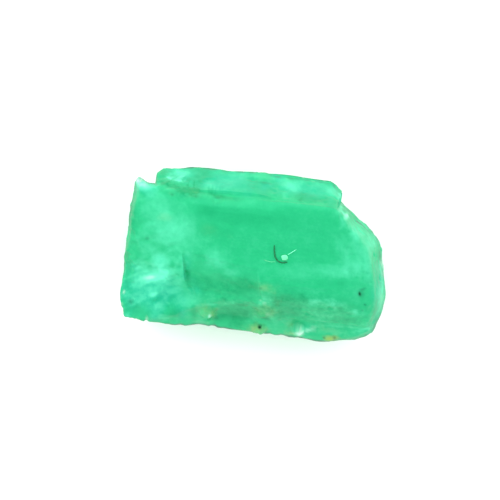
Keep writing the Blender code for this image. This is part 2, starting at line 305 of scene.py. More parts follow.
def entryToLedge(starts, ways, ledge, fade):
    # With a fade, the step dies out over that length beyond each end in place of a wall.
    section, (left, right), drift, lean = ledge
    if not fade:
        return entryToWedge(starts, ways, ledgePlanes(section, (left, right), drift, lean))
    longer = (1.0 + 2.0 * fade / (right - left)) * np.array(drift)
    entry = entryToWedge(starts, ways, ledgePlanes(section, (left - fade, right + fade), longer, lean))
    x = starts[:, 0] + ways[:, 0] * np.minimum(entry, 10.0)
    beyond = np.maximum(np.maximum(left - x, x - right), 0.0)
    return entry + crystal["fadeDepth"] * beyond / fade


def softLeast(values, blend):
    # Formula: minus the blend times the logarithm of the sum of exponentials, a rounded minimum.
    least = values.min(axis=0)
    return least - blend * np.log(np.exp((least - values) / blend).sum(axis=0))


def easedStep(value, width):        # 0 far below zero, 1 far above it
    return 1.0 / (1.0 + np.exp(np.clip(-value / width, -40, 40)))


def ramp(value, start, width):      # 0 below the start, 1 from a width above it
    return np.clip((value - start) / width, 0.0, 1.0)


def slanted(places, cosine, sine):      # turned round Z, for a noise drawn out along a slanting line
    return places @ np.array(((cosine, -sine, 0.0), (sine, cosine, 0.0), (0.0, 0.0, 1.0)))


def smoothNoise(places, wavelengths, seed):
    # Formula: a value from -1 to 1 hashed at each point of a lattice, eased between the eight nearest.
    scaled = places / np.asarray(wavelengths)
    cell = np.floor(scaled).astype(np.int64)
    part = scaled - cell
    ease = part * part * (3.0 - 2.0 * part)
    total = np.zeros(len(places))
    for corner in np.ndindex(2, 2, 2):
        spot = cell + np.array(corner)
        mixed = (spot[:, 0] * 73856093) ^ (spot[:, 1] * 19349663) ^ (spot[:, 2] * 83492791)
        mixed ^= seed * 26544357
        mixed = (mixed ^ (mixed >> 13)) * 1274126177
        mixed = (mixed ^ (mixed >> 16)) & 0xFFFFFF
        weight = np.prod(np.where(np.array(corner) == 1, ease, 1.0 - ease), axis=1)
        total += weight * (mixed / 0x7FFFFF - 1.0)
    return total


def roughness(places, wavelength, octaves, seed):     # each octave halves the wave and the height
    total = np.zeros(len(places))
    for step in range(octaves):
        total += smoothNoise(places, wavelength / 2**step, seed + step) / 2**step
    return total


def blots(places, wavelength, octaves, seed, threshold, most):
    # Formula: how far the noise stands above the threshold, up to the most.
    return np.clip(roughness(places, wavelength, octaves, seed) - threshold, 0.0, most)


def crystalReach(starts, ways):
    blend = crystal["edgeWear"]
    grown = []
    for y, z, angle in crystal["prismFaces"].values():
        normal = np.array((0.0, np.cos(np.radians(angle)), np.sin(np.radians(angle))))
        grown.append(reachOfPlane(starts, ways, (0.0, y, z), normal))
    broken = []
    slopes = [grown[0]]
    walls = []
    for name, (point, bearing, rise) in crystal["breaks"].items():
        group = slopes if "slope" in name else walls if name in crystal["softWalls"] else broken
        group.append(reachOfPlane(starts, ways, point, unitNormal(bearing, rise)))
    for name, sides in crystal["notches"].items():
        lean = crystal["stepLean"] if "step" in name else crystal["notchLean"]
        group = walls if name in crystal["softWalls"] else broken
        group.append(entryToWedge(starts, ways, notchPlanes(sides, lean)))
    for name, ledge in crystal["ledges"].items():
        fade = crystal["endFade"] if name.startswith(crystal["fadingLedges"]) else 0.0
        entry = entryToLedge(starts, ways, ledge, fade)
        (slopes if name in crystal["softLedges"] else broken).append(entry)
    for flake in crystal["flakes"].values():
        entry, leave = crossingsOfEllipsoid(starts, ways, *flake)
        broken.append(np.where(leave > 0, entry, 1e3))
    upper = softLeast(np.array(slopes), crystal["slopeWear"])
    upper = softLeast(np.array([upper, grown[1]] + walls), crystal["wallWear"])
    frosted = grown.pop()       # the last prism face, the upper front, looks like a break
    every = np.array([upper] + grown[2:] + [frosted] + broken)
    reach = softLeast(every, blend)
    nearest = np.partition(every, 1, axis=0)[:2]
    edge = np.exp(-(nearest[1] - nearest[0]) / crystal["edgeLine"])     # 1 on a sharp edge
    # How much of the skin is broken: 0 on a grown face, 1 on a break, eased over the worn edge.
    nearestBreak = softLeast(np.array(broken + walls + [frosted]), blend)
    brokenSkin = easedStep(softLeast(np.array(grown), blend) - nearestBreak, crystal["breakEase"] * blend)
    slopeEase = crystal["slopeEase"] * crystal["slopeWear"]
    slopeSkin = easedStep(slopes[0] - softLeast(np.array(slopes[1:]), blend), slopeEase)
    skin = np.maximum(brokenSkin, slopeSkin * (upper <= every[1:].min(axis=0) + blend))
    grainSkin = np.zeros(len(starts))
    for centre, halfSizes in crystal["grains"].values():
        entry, leave = crossingsOfEllipsoid(starts, ways, centre, halfSizes, 0.0)
        proud = np.where(entry < reach, leave - reach, -1.0)
        # The chord eases a grain's rim down, so that it doesn't end in a wall.
        chord = ramp(leave - entry, 0.0, crystal["grainEase"] * np.mean(halfSizes))
        proud = proud * chord * chord * (3.0 - 2.0 * chord)
        grainSkin = np.maximum(grainSkin, ramp(proud, 0.0, crystal["grainRim"]))
        reach = reach + np.maximum(proud, 0.0)
    return reach, np.maximum(skin, grainSkin), grainSkin, edge


def swellSum(places):
    # Formula: each swell is its height times e to the minus the square of (distance over half width).
    total = np.zeros(len(places))
    for x, y, halfWidth, height in crystal["swells"].values():
        away = np.hypot(places[:, 0] - x, places[:, 1] - y) / halfWidth
        total += height * np.exp(-away * away)
    return total


def endSteps(places):
    # Formula: a smooth noise cut into levels, each of them a flat and a short eased rise. They keep
    # off the outline and the upper slopes.
    wanted = crystal["endSteps"]
    level = roughness(places * wanted["stretch"], *wanted["noise"]) * wanted["levels"]
    part = ramp(level - np.floor(level), 1.0 - wanted["riser"], wanted["riser"])
    steps = np.floor(level) + part * part * (3.0 - 2.0 * part)
    noise, share = wanted["fine"]
    steps += roughness(places, *noise) * share
    x, z = places[:, 0], places[:, 2]
    foot = crystal["wallFoot"]
    atEnds = ramp(np.abs(x), *wanted["start"])
    atEnds = np.where((x > 0) & (z > foot), wanted["rightShare"] * atEnds, atEnds)
    top, fullBelow = wanted["top"]
    steps *= atEnds * ramp(np.abs(z - foot), 0.0, wanted["offOutline"]) * ramp(top - z, 0.0, fullBelow)
    return wanted["height"] * steps


def relief(places, skin, grainSkin, edge):
    # Formula: striations along X on the grown faces, and hackle and shell ripple on the breaks.
    striae = sum(smoothNoise(places, waves, seed) * height for waves, seed, height in crystal["striations"])
    below, deeper = crystal["deeperBelow"]
    striae *= 1.0 + deeper * ramp(crystal["widestLevel"][0] - places[:, 2], 0.0, below)
    noise, height = crystal["hackle"]
    hackle = roughness(places, *noise) * height
    edgeX, edgeY, lean, sharpness = crystal["scoopEdge"]
    inScoop = easedStep(edgeX - places[:, 0] - lean * (places[:, 1] - edgeY), 1.0 / sharpness)
    waves, seed, height = crystal["scoopRipple"]
    hackle += inScoop * smoothNoise(slanted(places, *crystal["scoopSlant"]), waves, seed) * height
    chip, depth = crystal["chips"]
    hackle += endSteps(places) - depth * blots(places, *chip)
    noise, height = crystal["grit"]
    grit = roughness(places, *noise) * height
    chip, depth = crystal["edgeChips"]
    moved = striae * (1.0 - skin) + hackle * skin + grit * grainSkin + swellSum(places)
    return moved - depth * edge * blots(places, *chip)


def plainMesh(name, places, quads, triangles, values):
    mesh = bpy.data.meshes.new(name)
    mesh.from_pydata((places * mm).tolist(), [], quads.tolist() + triangles.tolist())
    for label, column in values.items():
        layer = mesh.attributes.new(label, "FLOAT", "POINT")
        layer.data.foreach_set("value", column.astype(np.float32))
    mesh.shade_smooth()
    made = bpy.data.objects.new(name, mesh)
    bpy.context.scene.collection.objects.link(made)
    return made


def closedGrid(rings, spokes):
    # The first and the last ring are a single point each, so both poles are closed by triangles.
    first = 1 + np.arange(rings - 2)[:, None] * spokes
    here = np.arange(spokes)
    there = (here + 1) % spokes
    quads = np.stack([first + here, first + there, first + spokes + there, first + spokes + here], axis=-1)
    lastRing = 1 + (rings - 2) * spokes
    endPoint = lastRing + spokes
    near = np.stack([np.zeros(spokes, int), 1 + there, 1 + here], axis=-1)
    far = np.stack([np.full(spokes, endPoint), lastRing + here, lastRing + there], axis=-1)
    return quads.reshape(-1, 4), np.concatenate([near, far])


def oneEnd(values, spokes):     # keeps one value of each end ring
    return np.concatenate([values[:1], values[spokes:-spokes], values[-1:]])


def buildCrystal():
    rings, spokes = crystal["rings"], crystal["spokes"]
    starts, ways = capsuleRays(rings, spokes)
    reach, skin, grainSkin, edge = crystalReach(starts, ways)
    surface = starts + ways * reach[:, None]
    surface += ways * relief(surface, skin, grainSkin, edge)[:, None]
    surface[:, 2] = np.maximum(surface[:, 2], 0.0)
    values = {"skin": skin}
    values.update(paintLayers(surface, skin, edge, gridNormals(surface, rings, spokes)))
    values = {label: oneEnd(column, spokes) for label, column in values.items()}
    surface = oneEnd(surface, spokes)
    surface[:, :2] -= np.array(crystal["boxMiddle"])
    quads, triangles = closedGrid(rings, spokes)
    made = plainMesh("emerald_skin", surface, quads, triangles, values)
    made.data.materials.append(rawEmeraldMaterial())
    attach(made, "root")
    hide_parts(crystalNode)
    print("crystal surface:", len(surface), "points")
    return made


# Patches seen on the stone from above, layer by layer: middle (x, y) and half sizes in millimetres,
# turn in degrees, amount. The tone is how much lighter or deeper the green is there: partly milky
# veils and deeper stone, partly painted light and shade, lighter on faces that turn to the light,
# deeper in hollows, on faces turned from it and along the rims.
patches = {
    "tone": {
        # Painted light: the left field is lighter, as its slopes face the light.
        "left field": (-3.40, 0.55, 1.25, 1.30, 0, 0.38),
        "left field, middle": (-3.20, 0.45, 0.60, 0.45, 0, 0.25),
        "left shelf": (-4.30, 1.98, 0.42, 0.20, 0, 0.75),
        "left shelf, tip": (-4.68, 2.16, 0.20, 0.14, 0, 0.60),
        "under the shelf": (-3.90, 1.50, 0.50, 0.35, 0, 0.20),
        # Painted shade along the left rim, whose walls are seen edge on.
        "left rim": (-4.72, 0.80, 0.22, 0.90, 4, -0.60),
        "left rim, front": (-4.80, -0.70, 0.16, 0.55, 4, -0.70),
        "left rim, low": (-4.66, -1.50, 0.14, 0.60, 0, -0.35),
        "slanting line": (-3.60, -0.16, 0.80, 0.15, -20, -0.18),
        "slanting line, right": (-2.90, -0.42, 0.50, 0.12, -14, -0.18),
        "left front field": (-3.80, -1.20, 0.95, 0.65, 8, 0.55),
        "white flake": (-3.85, -1.38, 0.34, 0.13, 12, 0.90),
        "white flake, tail": (-3.40, -1.14, 0.46, 0.12, 22, 0.55),
        "flake above": (-3.10, -1.00, 0.30, 0.10, 30, 0.30),
        "blue flake": (-3.58, -1.95, 0.22, 0.11, 32, 0.90),
        "blue flake, front": (-3.20, -2.16, 0.26, 0.12, 40, 0.50),
        "small flake": (-4.12, -2.22, 0.18, 0.09, 35, 0.80),
        "small flake, left": (-4.62, -2.16, 0.10, 0.10, 0, 0.60),
        "front flake": (-3.35, -2.42, 0.32, 0.07, -24, 0.45),
        "facet by the hollow": (-2.84, -1.05, 0.26, 0.55, 12, 0.20),
        "facet, front": (-2.75, -1.75, 0.40, 0.40, 14, 0.30),
        "facet, right": (-2.30, -2.05, 0.28, 0.30, 30, 0.25),
        "shade in the flake": (-2.92, -1.98, 0.26, 0.13, 30, -0.55),
        "shade in the flake, left": (-3.70, -1.62, 0.35, 0.08, 16, -0.40),
        "shade in front": (-2.85, -2.62, 0.30, 0.12, 8, -0.50),
        "front left corner": (-4.20, -2.62, 0.42, 0.17, -6, -0.20),
        # Painted shade in the hollow and on its wall.
        "hollow wall": (-2.42, -1.12, 0.09, 0.62, 14, -0.28),
        "hollow, left": (-1.95, -1.30, 0.40, 0.50, 30, -0.10),
        "hollow": (-1.20, -1.32, 1.15, 0.34, -3, -0.60),
        "hollow, right": (-0.20, -1.30, 0.60, 0.26, 12, -0.50),
        "hollow mouth": (-2.05, -2.00, 0.30, 0.25, 0, 0.20),
        "ridge": (-1.35, -2.08, 0.50, 0.07, 10, 0.45),
        "ridge, right": (-0.75, -1.93, 0.30, 0.06, 22, 0.40),
        # Painted shade on the facet under the ridge, which turns away from the light, and beside the lump.
        "facet under the ridge": (-0.55, -2.36, 0.75, 0.38, 4, -0.80),
        "beside the lump": (-1.12, -2.58, 0.26, 0.20, 0, -0.35),
        "beside the lump, left": (-2.06, -2.48, 0.13, 0.28, 6, -0.60),
        "top, left": (-1.40, -0.42, 0.48, 0.34, -24, 0.50),
        "top, left front": (-0.85, -0.84, 0.30, 0.14, -8, 0.35),
        "top, dark band": (-0.50, 1.26, 1.50, 0.34, 0, -0.30),
        "top, dark band, left": (-2.10, 1.32, 0.45, 0.26, 0, -0.40),
        "top, olive band": (-1.75, 0.66, 0.55, 0.26, 0, -0.25),
        "top, right": (1.95, -0.55, 1.30, 0.36, 0, 0.22),
        "strip, white end": (-3.10, 2.62, 0.36, 0.15, 6, 0.70),
        "strip, left shade": (-3.84, 2.50, 0.18, 0.20, 0, -0.55),
        "strip, lower left shade": (-3.70, 2.24, 0.24, 0.10, 0, -0.45),
        "strip, white line": (-3.16, 2.34, 0.36, 0.05, -8, 0.80),
        "strip, white line, left": (-3.55, 2.40, 0.20, 0.04, -25, 0.50),
        "strip, dark under the peak": (-2.38, 2.66, 0.36, 0.32, -14, -0.65),
        "strip, light foot": (-2.05, 2.34, 0.30, 0.14, -20, 0.35),
        "strip, dark scribble": (-2.46, 2.02, 0.50, 0.08, -6, -0.50),
        "strip, dark scribble, left": (-3.20, 2.06, 0.50, 0.10, -10, -0.55),
        "strip, dark scribble, right": (-1.75, 1.96, 0.36, 0.06, -4, -0.55),
        "strip, shade": (-2.50, 2.28, 0.34, 0.20, 0, -0.35),
        "strip, back shade": (-2.10, 2.82, 0.60, 0.11, 3, -0.10),
        "strip, teal": (-1.45, 2.38, 0.60, 0.34, 0, 0.12),
        "strip, middle": (-0.10, 2.36, 0.65, 0.42, 0, -0.38),
        "strip, left foot": (-3.30, 2.14, 0.48, 0.17, -4, -0.40),
        "strip, thin shade": (0.00, 2.62, 0.26, 0.04, 0, -0.35),
        "strip, back line": (-0.20, 2.84, 0.90, 0.09, 0, 0.25),
        "strip, bright": (1.00, 2.62, 0.42, 0.22, 0, 0.60),
        "strip, bright foot": (0.82, 2.26, 0.14, 0.22, 0, 0.35),
        "strip, pit": (1.37, 2.12, 0.08, 0.06, 0, -0.70),
        "strip, grey": (1.40, 2.40, 0.16, 0.18, 0, -0.30),
        "strip, right": (2.10, 2.72, 0.60, 0.22, -4, 0.20),
        "strip, right end": (2.62, 2.48, 0.24, 0.22, 0, 0.40),
        "strip, lower right": (1.90, 2.20, 1.05, 0.17, 0, -0.60),
        # Painted light on the step's wall, which sits in the shade of its corner.
        "step wall": (2.93, 2.25, 0.12, 0.34, 0, 1.30),
        # Painted shade: a dark line along the strip's lower edge, where it steps down.
        "edge of the strip": (-3.00, 1.82, 1.00, 0.13, -3, -0.45),
        "edge of the strip, middle": (-1.35, 1.90, 0.60, 0.07, 0, -0.55),
        "right white chip": (3.16, 1.76, 0.10, 0.18, -16, 1.00),
        # Painted light: the right slope and field are lighter where the surface slopes down.
        "right slope": (3.50, 1.34, 0.45, 0.24, -32, 0.50),
        "right field": (3.85, 0.40, 0.75, 0.85, 0, 0.36),
        "right rim": (4.22, 0.92, 0.16, 0.30, 20, 0.55),
        "right field, front": (3.20, -0.28, 0.90, 0.22, 3, 0.26),
        "right field, shade": (3.10, -0.74, 0.70, 0.17, 5, -0.25),
        # Painted light on the right wall, lifting the painted wall shade there.
        "right wall": (4.80, -0.75, 0.16, 1.10, 3, 0.80),
        "right wall, shade": (4.58, -1.60, 0.12, 0.45, -4, -0.35),
        # The deeper band patches are painted shade on the front faces, which turn away from the light.
        "band, left": (1.30, -1.40, 0.55, 0.30, 0, -0.25),
        "band, deep left": (1.48, -1.99, 0.58, 0.36, 0, -0.66),
        "band, light": (2.38, -1.53, 0.20, 0.08, 8, 0.45),
        "band, light middle": (3.12, -1.50, 0.36, 0.11, -4, 0.45),
        "band, light right": (3.90, -1.76, 0.15, 0.12, -30, 0.75),
        "band, shade": (3.32, -1.74, 0.14, 0.12, 0, -0.50),
        "band, shade left": (2.62, -1.78, 0.14, 0.10, 0, -0.50),
        "band, spot": (2.84, -2.10, 0.07, 0.07, 0, -0.60),
        "band, front": (3.50, -2.08, 0.60, 0.16, 4, -0.45),
        "band, front left": (2.25, -2.12, 0.40, 0.16, 0, -0.35),
        "bevel": (3.20, -2.58, 1.10, 0.13, 2, 0.25),
        "bevel line": (3.10, -2.40, 1.00, 0.03, 3, 0.45),
        "bevel line, right": (4.28, -2.38, 0.26, 0.04, 20, 0.60),
        "pale crust": (1.92, -2.78, 0.20, 0.11, 0, 1.20),
        "pale crust, tip": (2.02, -2.68, 0.06, 0.08, 0, 0.80),
        "pale crust, left": (1.64, -2.62, 0.10, 0.09, 20, 0.70),
        "pale crust, right": (2.22, -2.64, 0.14, 0.07, 10, 0.80),
        "whitish speckle": (0.48, -1.76, 0.22, 0.13, 0, 0.35),
        # Painted highlight on the bright end of the stained lump.
        "lump, bright end": (-1.47, -2.53, 0.07, 0.09, 0, 1.30),
    },
    "white": {       # calcite and chipped spots, and a painted highlight on the stained lump's bright end
        "pale crust": (1.91, -2.82, 0.18, 0.10, 0, 0.75),
        "pale crust, tip": (2.01, -2.72, 0.08, 0.09, 0, 0.55),
        "pale crust, right": (2.22, -2.66, 0.13, 0.06, 12, 0.35),
        "pale crust, left": (1.66, -2.62, 0.08, 0.06, 30, 0.25),
        # Painted highlight on the bright end of the stained lump.
        "lump": (-1.47, -2.53, 0.06, 0.08, 0, 0.40),
        "brown patch": (0.66, -2.22, 0.06, 0.05, 0, 0.35),
        "speckle": (0.50, -1.80, 0.06, 0.04, 0, 0.30),
        "speckle, left": (0.34, -1.72, 0.04, 0.03, 0, 0.25),
        "left shelf": (-4.55, 2.12, 0.26, 0.09, -20, 0.45),
        "left shelf, tip": (-4.70, 2.20, 0.12, 0.08, 0, 0.35),
        "left flake": (-3.84, -1.36, 0.18, 0.06, 14, 0.35),
        "left edge": (-4.76, -2.02, 0.035, 0.035, 0, 0.60),
        "left edge, low": (-4.78, -2.48, 0.035, 0.035, 0, 0.50),
        "front nick": (-3.80, -2.90, 0.06, 0.08, 0, 0.60),
        "front edge": (-1.80, -2.80, 0.20, 0.05, 0, 0.18),
        "right chip": (3.16, 1.74, 0.06, 0.14, -16, 0.35),
        "right wall": (4.72, 0.05, 0.06, 0.36, 8, 0.35),
    },
    "frost": {       # how mottled and gritty the skin is
        "front band": (2.70, -1.85, 1.90, 0.52, 0, 0.80),
        "left front": (-3.75, -2.15, 1.05, 0.60, 0, 0.22),
        "strip, left": (-3.40, 2.25, 0.75, 0.40, 0, 0.60),
        "hollow": (-1.30, -1.50, 1.20, 0.50, 0, 0.40),
        "under the ridge": (-0.20, -2.40, 1.30, 0.40, 0, 0.50),
        "right rim": (4.45, 0.30, 0.28, 1.30, 8, 0.35),
        "left rim": (-4.72, -0.20, 0.22, 1.90, 0, 0.45),
        "speckle": (0.50, -1.60, 0.40, 0.60, 0, 0.40),
    },
    "stain": {       # iron oxide, from olive to brown
        "lump": (-1.62, -2.36, 0.27, 0.23, 0, 0.36),
        "lump, dark side": (-1.34, -2.44, 0.14, 0.20, 0, 0.22),
        "speckle": (0.45, -1.24, 0.30, 0.18, 0, 0.22),
        "brown patch": (0.52, -2.14, 0.32, 0.20, 0, 0.20),
        "tan lump": (0.38, -2.82, 0.32, 0.18, 0, 0.42),
        "front crust": (1.66, -2.55, 0.26, 0.18, 0, 0.24),
        "front crust, foot": (1.66, -2.84, 0.16, 0.07, 0, 0.40),
        "left olive": (-3.50, 0.92, 0.26, 0.11, 0, 0.10),
        "middle olive": (-1.82, 0.62, 0.34, 0.28, 0, 0.05),
        "strip edge": (-2.52, 1.86, 0.22, 0.12, 0, 0.05),
        "strip edge, left": (-3.38, 1.82, 0.16, 0.12, 0, 0.05),
        "strip edge, middle": (-1.40, 1.88, 0.55, 0.08, 0, 0.04),
        "right wall": (4.84, -1.20, 0.10, 0.40, 0, 0.16),
        "bevel": (2.90, -2.55, 0.45, 0.12, 0, 0.12),
    },
    "orange": {
        "orange crust": (3.06, -2.88, 0.24, 0.13, 0, 0.60),
        "tan lump, foot": (0.22, -2.80, 0.12, 0.10, 0, 0.16),
        "pale crust": (1.90, -2.78, 0.16, 0.10, 0, 0.14),
    },
    "speck": {       # dark mica and pits, and faint painted shade over the facet under the ridge and the front band
        "mica": (3.95, -1.07, 0.055, 0.10, 20, 0.85),
        "mica, tail": (4.06, -0.88, 0.12, 0.05, 30, 0.35),
        "mica, halo": (3.99, -1.04, 0.15, 0.18, 20, 0.28),
        "small": (4.20, -1.45, 0.05, 0.04, 0, 0.60),
        "smaller": (4.13, -1.67, 0.04, 0.04, 0, 0.35),
        "corner": (-4.46, -2.34, 0.10, 0.07, 0, 0.50),
        "left": (-4.08, 0.07, 0.08, 0.06, 0, 0.22),
        "pit": (0.43, -2.71, 0.060, 0.060, 0, 1.50),
        # Painted shade: wide, faint dark patches over the facet under the ridge and the front band.
        "facet under the ridge": (-0.50, -2.36, 0.72, 0.34, 4, 0.12),
        "band, left": (1.35, -1.95, 0.62, 0.50, 0, 0.10),
        "band": (2.90, -1.75, 1.00, 0.45, 0, 0.05),
        "crust, left": (2.87, -2.86, 0.06, 0.06, 0, 0.60),
        "crust, right": (3.25, -2.82, 0.06, 0.06, 0, 0.60),
        "speckle": (0.30, -1.28, 0.06, 0.05, 0, 0.40),
        "under the brown patch": (0.62, -2.38, 0.14, 0.05, 0, 0.35),
        "lump foot": (-1.22, -2.58, 0.12, 0.08, 0, 0.35),
        "strip edge": (-3.34, 1.78, 0.07, 0.05, 0, 0.30),
        "strip edge, middle": (-2.48, 1.82, 0.12, 0.05, 0, 0.25),
        "strip edge, right": (-1.66, 1.86, 0.12, 0.05, 0, 0.30),
        "strip": (0.02, 2.62, 0.18, 0.03, 0, 0.20),
    },
    "teal": {       # bluer green
        "left front": (-3.60, -1.90, 1.25, 0.95, 0, 0.80),
        "strip": (-1.60, 2.50, 2.10, 0.42, -2, 0.65),
        "strip, right": (1.60, 2.55, 1.20, 0.40, 0, 0.55),
        "right wall": (4.70, -0.80, 0.30, 1.20, 0, 0.45),
        "pale crust": (1.95, -2.68, 0.35, 0.22, 0, 0.60),
        "left shelf": (-4.35, 1.95, 0.45, 0.30, 0, 0.60),
    },
}
paint = {
    # Noises are their wave in millimetres, octaves and seed, and an amount follows some of them. Blots
    # are these and a threshold and a most.
    "flatten": 0.5,         # a height counts for this share of it, which draws the noises out downwards
    "overLevel": (-0.15, 0.30),     # the patches begin at this height over the widest level, and fade in
    "overFacing": (0.10, 0.15),     # or where a normal's Z is over this
    "shapes": {"tone": 2.6, "white": 2.6, "stain": 2.2, "orange": 3.0, "speck": 3.0, "frost": 3.0,
               "teal": 3.0, "scribbles": 4.0},      # the larger, the crisper a patch's outline
    "speckWobble": 0.5,     # specks keep rounder than the other patches
    "wobble": ((0.50, 4, 41), 0.42),        # how the patches' outlines are bent
    "ragged": ((0.14, 2, 151), 0.16),
    "underVeils": ((1.40, 5, 61), 0.50),    # what has no set place, below the widest level
    "underStain": ((0.90, 4, 111, 0.62, 0.5), 0.9),
    "underWhite": (0.50, 4, 121, 0.95, 0.5),
    "underSpeck": ((0.40, 3, 131, 1.15, 0.3), 4.0),
    "underFrost": 0.5,
    "bend": 0.10,           # how far the white and the specks under it are bent, in millimetres
    "wallSteep": (0.42, 0.30),      # steepness of the walls: the most and the width
    "wallMottle": ((0.80, 4, 65), 0.26),    # light and dark patches on them
    "wallShade": 0.45,      # painted shade: the steep walls are painted deeper, as they catch less light
    "mottle": ((0.30, 2, 81), 0.06, 0.08),  # the second amount is for the breaks
    "flaked": (0.24, 3, 161),
    "edgeTone": 0.18,       # chips along the sharp edges, lighter and darker by turns
    "edgeWhite": 0.15,
    "rimWidth": 0.085,      # height of the painted shade and grey film along the widest level, in millimetres
    "rimWander": ((0.55, 3, 197), 0.075),   # how far the line strays from that level
    "sideSteep": (0.66, 0.20),
    "endFacing": (0.5, 0.3),        # a wall counts as an end wall where the normal's X is over this
    "footSteep": (0.55, 0.35),
    "footWidth": 0.30,      # the line's height on the two end walls
    "endFilmAndShade": 0.65,        # share of it on these walls
    "rimFilmAndShade": 0.66,
    "filmPatches": ((0.8,) * 3, 195),
    "filmShares": (0.9, -0.6, 1.2, 1.4),    # of the film and shade, the flakes and that noise, and the most
    # painted shade along the outline
    "rimShade": -0.40,
    "rimFlakes": 0.35,      # how much the flakes lighten and darken it
    "rimWhite": ((0.20, 2, 171, 0.55, 0.6), 0.9),
    "crumbs": ((0.11,) * 3, 167),           # the white crusts fall into crumbs
    "crumbShares": (0.9, 0.4, 0.6, 0.1, 1.4),   # of the white, the flakes and that noise, least and most
    "streakTone": 0.30,
    "streakEdges": ((2.5, 0.3), (0.5, 0.4)),    # where the corner starts towards -X and -Y, and fades in
    "ridges": (((0.85, 0.20, 0.40), 71), 0.6, 2.0),     # waves and seed, level and height
    "fineRidges": ((((0.42, 0.11, 0.20), 73), 0.9), (((0.18, 0.07, 0.12), 77), 0.4)),
    "streakSlant": (0.88, 0.47),    # cosine and sine of the way of the streaks in the scooped corner
    "scribbles": (-2.75, 2.12, 1.25, 0.30, -5, 0.65),   # the dark scribbles where the strip begins
    "scribbleNoise": ((0.14, 0.32, 0.30), 191),
    "scribbleLine": 0.30,   # the larger, the thicker the scribbles
}


def patchSum(surface, wanted, wobble, layer):
    # Formula: each patch is its amount times e to the minus (distance over half size) to the power
    # of the layer's shape, and the patches are added.
    shape = paint["shapes"][layer]
    total = np.zeros(len(surface))
    for x, y, halfX, halfY, turn, amount in wanted.values():
        cosine, sine = math.cos(math.radians(turn)), math.sin(math.radians(turn))
        aside, ahead = surface[:, 0] - x, surface[:, 1] - y
        along = (aside * cosine + ahead * sine) / halfX
        across = (ahead * cosine - aside * sine) / halfY
        away = np.hypot(along, across) * (1.0 + wobble)
        total += amount * np.exp(-np.minimum(away, 6.0) ** shape)
    return total


def gridNormals(surface, rings, spokes):
    # Formula: the cross product of the differences along the two directions of the grid.
    grid = surface.reshape(rings + 1, spokes, 3)
    along = np.gradient(grid, axis=0)
    around = np.roll(grid, -1, axis=1) - np.roll(grid, 1, axis=1)
    normal = np.cross(around, along)
    size = np.linalg.norm(normal, axis=2, keepdims=True)
    normal = np.where(size > 1e-12, normal / np.maximum(size, 1e-12), (0.0, 0.0, 0.0))
    return normal.reshape(-1, 3)


def steepness(normals, most, width):
    # Formula: 0 where the normal's Z is over the most, and 1 where it is a width under it.
    return ramp(most - np.abs(normals[:, 2]), 0.0, width)


def heightOverWidest(surface):
    # Formula: the widest level rises with y, and falls to the left of a place at the back.
    level, rise = crystal["widestLevel"]
    fallStart, fall = crystal["leftFall"]
    falling = fall * np.maximum(fallStart - surface[:, 0], 0.0) * (surface[:, 1] > 0)
    return surface[:, 2] - (level + rise * surface[:, 1] - falling)


def outlineShadeAndFilm(surface, flat, normals, above):
    # Painted shade along the outline, drawn as a patchy grey film.
    # The outline's line is where the prism faces meet at the sides, and where the walls are upright
    # at the two ends. Formula: e to the minus the square of (height from there over the width).
    endWall = ramp(np.abs(normals[:, 0]), *paint["endFacing"])
    fromFoot = (surface[:, 2] - crystal["wallFoot"]) / paint["footWidth"]
    atFoot = endWall * steepness(normals, *paint["footSteep"]) * np.exp(-fromFoot * fromFoot)
    noise, wander = paint["rimWander"]
    strayed = (above + wander * roughness(flat, *noise)) / paint["rimWidth"]
    beside = (1.0 - endWall) * steepness(normals, *paint["sideSteep"]) * np.exp(-strayed * strayed)
    return paint["endFilmAndShade"] * atFoot + beside


def scoopStreaks(surface):      # light and dark streaks in the scooped left front corner
    streak = slanted(surface, *paint["streakSlant"])
    towardsLeft, towardsFront = paint["streakEdges"]
    inScoop = ramp(-surface[:, 0], *towardsLeft) * ramp(-surface[:, 1], *towardsFront)
    noise, level, height = paint["ridges"]
    ridges = level - np.abs(smoothNoise(streak, *noise)) * height
    for noise, height in paint["fineRidges"]:
        ridges += height * smoothNoise(streak, *noise)
    return inScoop * ridges * paint["streakTone"]


def stripScribbles(flat, surface, wobble):      # thin dark lines, where a noise is near zero
    line = paint["scribbleLine"]
    lines = ramp(line - np.abs(smoothNoise(flat, *paint["scribbleNoise"])), 0.0, line)
    return lines * patchSum(surface, {"scribbles": paint["scribbles"]}, wobble, "scribbles")


